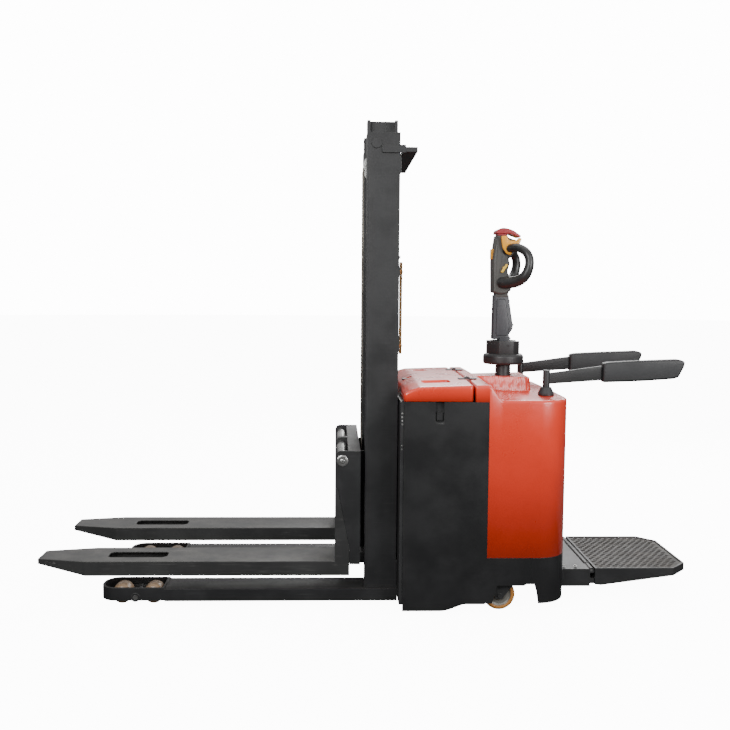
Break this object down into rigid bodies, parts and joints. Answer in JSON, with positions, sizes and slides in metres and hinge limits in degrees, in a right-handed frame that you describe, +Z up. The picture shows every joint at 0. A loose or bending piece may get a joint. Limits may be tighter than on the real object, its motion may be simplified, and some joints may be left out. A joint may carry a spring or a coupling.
{
  "type": "ride-on electric stacker",
  "caption": "Ride-on electric stacker with a two-stage mast, fork carriage over straddle legs, tiller head, side arms and a folding standing platform.",
  "frame": {"origin": "on the floor, midway between the fork tips and the tip of the standing deck, on the truck's centre plane", "axes": "+Z up, -X along the forks, +X towards the standing platform, -Y is the truck's left side"},
  "size_m": [2.59, 0.82, 1.886],
  "materials": {
    "black_steel": "satin",
    "mast_steel": "satin",
    "fork_steel": "satin",
    "red_shell": "gloss",
    "black_plastic": "matte",
    "grey_plastic": "matte",
    "bright_steel": "satin",
    "rod_chrome": "polished",
    "chain_steel": "oiled",
    "roller_pu": "satin",
    "tyre_pu": "satin",
    "drive_tyre": "matte",
    "clear_guard": "clear",
    "motor_grey": "satin",
    "battery_grey": "satin",
    "wing_orange": "satin",
    "rocker_yellow": "satin",
    "button_red": "satin",
    "mat_rubber": "matte",
    "pad_foam": "matte"
  },
  "bodies": {
    "chassis": {"chassis": "black_steel", "leg_left": "mast_steel", "leg_right": "mast_steel", "outer_mast": "mast_steel", "mast_stay": "mast_steel", "mast_guard": "clear_guard", "limit_switch": "black_plastic", "lift_cylinder": "black_steel", "side_panel_left": "black_steel", "side_panel_right": "black_steel", "rear_skirt": "black_steel", "rear_cover": "red_shell", "battery_tray": "battery_grey", "battery_cells": "black_plastic", "hydraulic_unit": "motor_grey", "motor_controller": "motor_grey", "steer_bearing": "bright_steel", "pivot_pins": "bright_steel", "platform_bracket": "black_steel", "arm_sockets": "black_plastic", "lid_hinges": "black_plastic", "cover_screws": "bright_steel", "anchor_chains": "chain_steel"},
    "inner_mast": {"inner_mast": "mast_steel", "lift_rod": "rod_chrome", "chain_sheaves": "bright_steel", "mast_rollers": "bright_steel"},
    "carriage": {"carriage": "mast_steel", "fork_left": "fork_steel", "fork_right": "fork_steel", "hanger_shaft": "bright_steel", "carriage_rollers": "bright_steel", "lift_chains": "chain_steel"},
    "drive_unit": {"drive_gearbox": "motor_grey", "drive_motor": "motor_grey", "tiller_column": "grey_plastic"},
    "drive_wheel": {"drive_wheel": "drive_tyre"},
    "tiller": {"tiller_stem": "grey_plastic", "tiller_head": "grey_plastic", "hand_loops": "black_plastic"},
    "throttle": {"throttle_wings": "wing_orange"},
    "reverse_button": {"reverse_button": "button_red"},
    "lift_rocker": {"lift_rocker": "rocker_yellow"},
    "horn_button": {"horn_button": "wing_orange"},
    "lid": {"battery_lid": "red_shell", "lid_fittings": "black_plastic"},
    "platform": {"platform_deck": "black_steel", "platform_mat": "mat_rubber"},
    "caster_left": {"caster_fork_left": "black_steel"},
    "caster_wheel_left": {"caster_wheel_left": "tyre_pu"},
    "bogie_left": {"bogie_left": "black_steel"},
    "side_arm_left": {"side_arm_left": "pad_foam"},
    "front_roller_left": {"front_roller_left": "roller_pu"},
    "rear_roller_left": {"rear_roller_left": "roller_pu"},
    "caster_right": {"caster_fork_right": "black_steel"},
    "caster_wheel_right": {"caster_wheel_right": "tyre_pu"},
    "bogie_right": {"bogie_right": "black_steel"},
    "side_arm_right": {"side_arm_right": "pad_foam"},
    "front_roller_right": {"front_roller_right": "roller_pu"},
    "rear_roller_right": {"rear_roller_right": "roller_pu"}
  },
  "joints": [
    {"name": "mast_lift", "type": "slide", "parent": "chassis", "child": "inner_mast", "axis": [0, 0, 1], "range_m": [-0.05, 1.15]},
    {"name": "carriage_lift", "type": "slide", "parent": "inner_mast", "child": "carriage", "axis": [0, 0, 1], "range_m": [-0.05, 1.15], "deforming": ["lift_chains"]},
    {"name": "tiller_steer", "type": "hinge", "parent": "chassis", "child": "drive_unit", "pos_m": [0.558, 0, 0.2], "axis": [0, 0, 1], "range_deg": [-90, 90]},
    {"name": "drive_wheel_spin", "type": "hinge", "parent": "drive_unit", "child": "drive_wheel", "pos_m": [0.558, 0, 0.115], "axis": [0, 1, 0], "continuous": true},
    {"name": "tiller_tilt", "type": "hinge", "parent": "drive_unit", "child": "tiller", "pos_m": [0.558, 0, 1.003], "axis": [0, 1, 0], "range_deg": [0, 75], "stiffness_Nm_per_rad": 28, "springref_deg": -17.19},
    {"name": "throttle_turn", "type": "hinge", "parent": "tiller", "child": "throttle", "pos_m": [0.586, 0, 1.434], "axis": [0, 1, 0], "range_deg": [-20, 20], "stiffness_Nm_per_rad": 0.8},
    {"name": "reverse_press", "type": "slide", "parent": "tiller", "child": "reverse_button", "axis": [0, 0, -1], "range_m": [0, 0.005], "stiffness_N_per_m": 1200, "springref_m": -0.002},
    {"name": "lift_rock", "type": "hinge", "parent": "tiller", "child": "lift_rocker", "pos_m": [0.546, 0, 1.332], "axis": [0, 1, 0], "range_deg": [-10, 10], "stiffness_Nm_per_rad": 0.5},
    {"name": "horn_press", "type": "slide", "parent": "tiller", "child": "horn_button", "axis": [1, 0, 0], "range_m": [0, 0.003], "stiffness_N_per_m": 400, "springref_m": -0.001},
    {"name": "lid_open", "type": "hinge", "parent": "chassis", "child": "lid", "pos_m": [0.378, 0, 0.893], "axis": [0, 1, 0], "range_deg": [0, 80]},
    {"name": "platform_fold", "type": "hinge", "parent": "chassis", "child": "platform", "pos_m": [0.8925, 0, 0.116], "axis": [0, -1, 0], "range_deg": [0, 88]},
    {"name": "caster_swivel_left", "type": "hinge", "parent": "chassis", "child": "caster_left", "pos_m": [0.523, -0.335, 0.14], "axis": [0, 0, 1], "continuous": true},
    {"name": "caster_spin_left", "type": "hinge", "parent": "caster_left", "child": "caster_wheel_left", "pos_m": [0.495, -0.335, 0.062], "axis": [0, 1, 0], "continuous": true},
    {"name": "bogie_rock_left", "type": "hinge", "parent": "chassis", "child": "bogie_left", "pos_m": [-0.9175, -0.245, 0.04], "axis": [0, 1, 0], "range_deg": [-8, 8]},
    {"name": "front_roller_spin_left", "type": "hinge", "parent": "bogie_left", "child": "front_roller_left", "pos_m": [-0.979, -0.245, 0.04], "axis": [0, 1, 0], "continuous": true},
    {"name": "rear_roller_spin_left", "type": "hinge", "parent": "bogie_left", "child": "rear_roller_left", "pos_m": [-0.856, -0.245, 0.04], "axis": [0, 1, 0], "continuous": true},
    {"name": "side_arm_swing_left", "type": "hinge", "parent": "chassis", "child": "side_arm_left", "pos_m": [0.684, -0.25, 0.9], "axis": [0, 0, -1], "range_deg": [0, 90]},
    {"name": "caster_swivel_right", "type": "hinge", "parent": "chassis", "child": "caster_right", "pos_m": [0.523, 0.335, 0.14], "axis": [0, 0, 1], "continuous": true},
    {"name": "caster_spin_right", "type": "hinge", "parent": "caster_right", "child": "caster_wheel_right", "pos_m": [0.495, 0.335, 0.062], "axis": [0, 1, 0], "continuous": true},
    {"name": "bogie_rock_right", "type": "hinge", "parent": "chassis", "child": "bogie_right", "pos_m": [-0.9175, 0.245, 0.04], "axis": [0, 1, 0], "range_deg": [-8, 8]},
    {"name": "front_roller_spin_right", "type": "hinge", "parent": "bogie_right", "child": "front_roller_right", "pos_m": [-0.979, 0.245, 0.04], "axis": [0, 1, 0], "continuous": true},
    {"name": "rear_roller_spin_right", "type": "hinge", "parent": "bogie_right", "child": "rear_roller_right", "pos_m": [-0.856, 0.245, 0.04], "axis": [0, 1, 0], "continuous": true},
    {"name": "side_arm_swing_right", "type": "hinge", "parent": "chassis", "child": "side_arm_right", "pos_m": [0.684, 0.25, 0.9], "axis": [0, 0, 1], "range_deg": [0, 90]}
  ],
  "couplings": [
    {"joint": "carriage_lift", "follows": "mast_lift", "ratio": 1}
  ]
}
